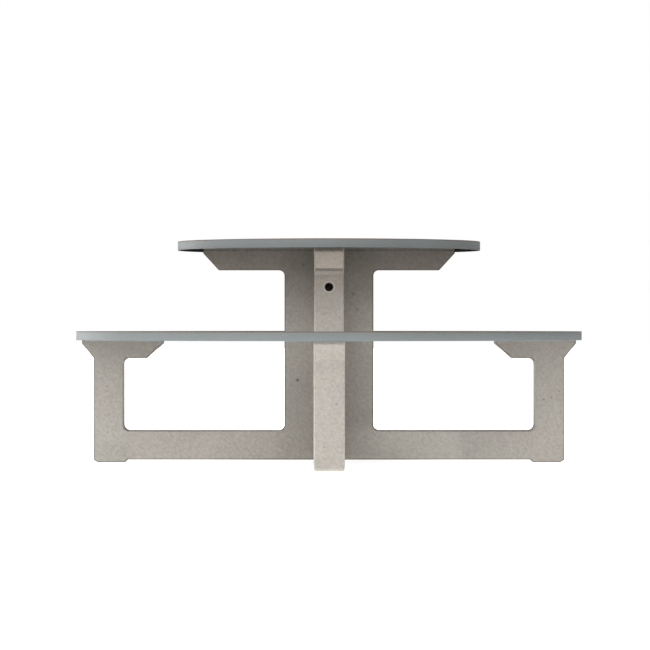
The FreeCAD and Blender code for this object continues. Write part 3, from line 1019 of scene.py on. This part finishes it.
@dataclass
class ConcreteFrames:
    """The two crossed frames, their concrete in two copies, one painted darker and one lighter as shade and
    light, and the bars inside them.
    """

    colour: Colour = (0.36, 0.335, 0.297)
    roughness: float = 0.9
    gloss: float = 0.2
    # painted shade: the main frame's concrete is darker than the cross frame's
    main_painted_shade: float = 0.95
    # painted shade: the main frame's arrises darkened to half
    main_arris_shade: float = 0.5
    # painted light: the main frame's window reveals lightened
    main_reveal_light: float = 1.12
    # painted shade beside the column, painted light at the frame's ends
    main_length_light_and_shade: tuple[Stop, ...] = ((0.13, 0.93), (0.2, 1.0), (0.66, 1.0), (0.72, 1.05))
    # painted light and shade: patches lighter or darker where the lighting falls off
    main_painted_light_patches: tuple[PaintedLightPatch, ...] = (
        PaintedLightPatch((0.07, 0.0), (0.42, 0.09), 1.17),
        PaintedLightPatch((-0.42, 0.0), (-0.2, 0.09), 1.06),
        PaintedLightPatch((-0.9, 0.0), (-0.7, 0.04), 0.89),
        PaintedLightPatch((0.7, 0.0), (0.9, 0.04), 0.95),
        PaintedLightPatch((-0.16, 0.49), (0.16, 0.58), 0.93),
    )
    main_blowholes: tuple[Mark, ...] = (
        Mark((-0.1066, 0.2794), 7.5 * MM, 0.95, fade_share=0.65),
        Mark((-0.0865, 0.671), 7 * MM, 0.45),
        Mark((0.0832, 0.5715), 9 * MM, 0.4),
        Mark((0.0959, 0.5195), 6 * MM, 0.55),
        Mark((0.7299, 0.2145), 6 * MM, 0.55),
        Mark((0.755, 0.22), 6 * MM, 0.4),
        Mark((0.7818, 0.2414), 6 * MM, 0.35),
        Mark((-0.7562, 0.257), 6 * MM, 0.35),
        Mark((-0.7545, 0.2424), 6 * MM, 0.3),
    )
    # painted light: the cross frame's concrete is lighter
    cross_painted_light: float = 1.05
    # painted highlight: the cross frame's arrises lightened
    cross_arris_highlight: float = 1.12
    near_leg_face: float = -799 * MM
    near_leg_blowholes: tuple[Mark, ...] = (
        Mark((0.0234, 0.2136), 6 * MM, 0.5),
        Mark((-0.0164, 0.0774), 4.5 * MM, 0.5),
    )
    column_face: float = 151 * MM
    # painted highlight round the tie hole, and painted shade at its rim
    tie_highlight_ring: Mark = Mark((0.0, 0.0), 22 * MM, 0.7, (0.54, 0.51, 0.46), fade_share=0.2)
    tie_shade_rim: Mark = Mark((0.0, 0.0), 15.6 * MM, 1.0, (0.02, 0.02, 0.02), fade_share=0.1)

    def dress(self) -> None:
        """Cover each frame in its own copy of the concrete, painted darker or lighter as shade and light,
        and the bars in steel.
        """
        main = Concrete(
            "main_frame_concrete", self.colour, self.roughness, self.gloss,
            face_axis=Axis.Y, light_and_shade_scale=self.main_painted_shade, arris_light_and_shade=self.main_arris_shade,
            reveal_light=self.main_reveal_light, length_light_and_shade=self.main_length_light_and_shade, painted_light_patches=self.main_painted_light_patches,
            marked_faces=(MarkedFace(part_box("main_frame")[0].y, self.main_blowholes),),
        )
        cross = Concrete(
            "cross_frame_concrete", self.colour, self.roughness, self.gloss,
            face_axis=Axis.X, light_and_shade_scale=self.cross_painted_light, arris_light_and_shade=self.cross_arris_highlight,
            marked_faces=self.cross_marks(),
        )
        dress_solids(main, "main_frame")
        dress_solids(cross, "cross_frame")
        dress_solids(FINISHES[Slot.BAR_STEEL], "main_frame_rebar", "cross_frame_rebar")

    def cross_marks(self) -> tuple[MarkedFace, ...]:
        """Mark the near leg with blowholes, and both ends of the tie hole with a painted highlight ring and
        a painted shade rim.

        Returns:
            The marked faces of the cross frame.
        """
        low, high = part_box("tie_bolt")
        tie = (0.0, (low.z + high.z) / 2)
        rings = tuple(replace(mark, spot=tie) for mark in (self.tie_highlight_ring, self.tie_shade_rim))
        column = tuple(MarkedFace(side * self.column_face, rings) for side in (-1, 1))
        return MarkedFace(self.near_leg_face, self.near_leg_blowholes), *column


@dataclass
class HalvedJoint:
    """What lies in the joint where the frames cross: pad, packers and tie."""

    packers: tuple[str, ...] = ("upper_joint_shims", "lower_joint_shims")
    tie: tuple[str, ...] = ("tie_bolt", "tie_washers", "tie_sleeve_nut")

    def dress(self) -> None:
        """Cover the pad, the packers and the tie."""
        dress_solids(FINISHES[Slot.RUBBER], "joint_bearing_pad")
        dress_solids(FINISHES[Slot.PACKER], *self.packers)
        dress_solids(FINISHES[Slot.GALVANISED], *self.tie)


@dataclass
class BoardFixings:
    """The boards' cores and what holds the boards to the frames."""

    cores: tuple[str, ...] = ("table_core", "seat_front_core", "seat_rear_core")
    boards: tuple[str, ...] = ("table", "seat")

    def dress(self) -> None:
        """Cover the cores, pads, bolts and sockets."""
        dress_solids(FINISHES[Slot.BOARD_CORE], *self.cores)
        for board in self.boards:
            dress_solids(FINISHES[Slot.RUBBER], f"{board}_pads")
            dress_solids(FINISHES[Slot.STAINLESS], f"{board}_bolts")
            dress_solids(FINISHES[Slot.GALVANISED], f"{board}_sockets")


@dataclass
class Studio:
    """Pale floor, white surroundings, soft light from the left and the camera.

    Headings and heights in the sky are in degrees, and headings run from the front to the right.
    """

    floor_radius: float = 60.0
    floor_points: int = 96
    floor_finish: Finish = GlowingFloor("pale_floor", (0.3, 0.3, 0.3), roughness=1.0, gloss=0.0)
    apron_radius: float = 2.4
    apron_height: float = 1 * MM
    apron_finish: Finish = Finish("dark_apron", (0.012, 0.012, 0.012), roughness=1.0, gloss=0.0)
    horizon: float = 1.0
    horizon_heights: Span = (5, 12)
    sky_headings: tuple[Stop, ...] = (
        (-125, 0.8), (-95, 1.0), (-55, 2.2), (-40, 2.2), (0, 1.15),
        (45, 0.57), (80, 0.22), (110, 0.22), (140, 0.8),
    )
    key_place: Triple = (-3.6, 2.6, 0.9)
    key_aim: Triple = (0.0, 0.0, 0.4)
    key_size: float = 2.4
    key_power: float = 105.0
    camera_place: Triple = (-0.0135, -12.314, 0.4665)
    camera_turn: Triple = (math.pi / 2, 0.0, 0.0)
    camera_lens: float = 200.0
    camera_reach: float = 240.0

    def build(self) -> None:
        """Build the studio in order."""
        self.build_floor()
        self.build_apron()
        self.build_sky()
        self.build_key()
        self.build_camera()
        bpy.context.scene.view_settings.view_transform = "Standard"
        LOG.info("studio: floor, apron, sky, softbox and camera")

    def build_floor(self) -> None:
        """Lay a pale round floor."""
        work = bmesh.new()
        rim = circle((0.0, 0.0), self.floor_radius, self.floor_points)
        work.faces.new([work.verts.new((x, y, 0.0)) for x, y in rim])
        mesh = bpy.data.meshes.new("floor")
        work.to_mesh(mesh)
        work.free()
        floor = add_object("floor", mesh)
        self.floor_finish.dress(floor)

    def build_apron(self) -> None:
        """Lay a dark apron, unseen by the camera, round the lit floor to keep light from far off away."""
        mould = Mould("dark_apron")
        radii = (self.apron_radius, self.floor_radius)
        rings = [circle((0.0, 0.0), radius, self.floor_points) for radius in radii]
        mould.wall([(ring, self.apron_height) for ring in rings])
        apron = add_object("dark_apron", mould.finish())
        apron.visible_camera = False
        self.apron_finish.dress(apron)

    def build_sky(self) -> None:
        """Surround the table with a white horizon, and with light above it, strongest at the front left."""
        world = bpy.data.worlds.new("studio")
        world.use_nodes = True
        bpy.context.scene.world = world
        graph = Graph(world.node_tree)
        direction = graph.add("ShaderNodeTexCoord").outputs["Generated"]
        right, back, up = graph.add("ShaderNodeSeparateXYZ", {0: direction}).outputs
        heading = graph.maths("ARCTAN2", right, graph.times(back, -1.0))
        stops = [(math.radians(angle), strength - self.horizon) for angle, strength in self.sky_headings]
        low, high = (math.sin(math.radians(angle)) for angle in self.horizon_heights)
        above = graph.spread(up, low, high)
        strength = graph.maths("MULTIPLY_ADD", graph.steps(heading, stops), above, self.horizon)
        sky = graph.add("ShaderNodeBackground", {"Color": WHITE, "Strength": strength})
        graph.add("ShaderNodeOutputWorld", {"Surface": sky.outputs[0]})

    def build_key(self) -> None:
        """Hang a large soft light on the left."""
        lamp = bpy.data.lights.new("left_softbox", "AREA")
        lamp.shape = "SQUARE"
        lamp.size = self.key_size
        lamp.energy = self.key_power
        key = add_object("left_softbox", lamp)
        key.visible_camera = False
        key.location = self.key_place
        aim = Vector(self.key_aim) - key.location
        key.rotation_euler = aim.to_track_quat("-Z", "Y").to_euler()

    def build_camera(self) -> None:
        """Set up the camera, level and square to the main frame."""
        lens = bpy.data.cameras.new("side_view")
        lens.lens = self.camera_lens
        lens.clip_end = self.camera_reach
        camera = add_object("side_view", lens)
        camera.location = self.camera_place
        camera.rotation_euler = self.camera_turn
        bpy.context.scene.camera = camera


def write_sizes() -> None:
    """Update the scene's view layer."""
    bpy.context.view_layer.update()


def main() -> None:
    """Build the boards, dress the solids and set up the studio."""
    logging.basicConfig(level=logging.INFO, format="%(message)s")
    ConcreteFrames().dress()
    HalvedJoint().dress()
    BoardFixings().dress()
    TableBoard("table", "table_bolts").build()
    SeatBoard("seat_front", "seat_bolts", half=Half.FRONT).build()
    SeatBoard("seat_rear", "seat_bolts", half=Half.REAR).build()
    Studio().build()
    write_sizes()


if __name__ == "__main__":
    main()
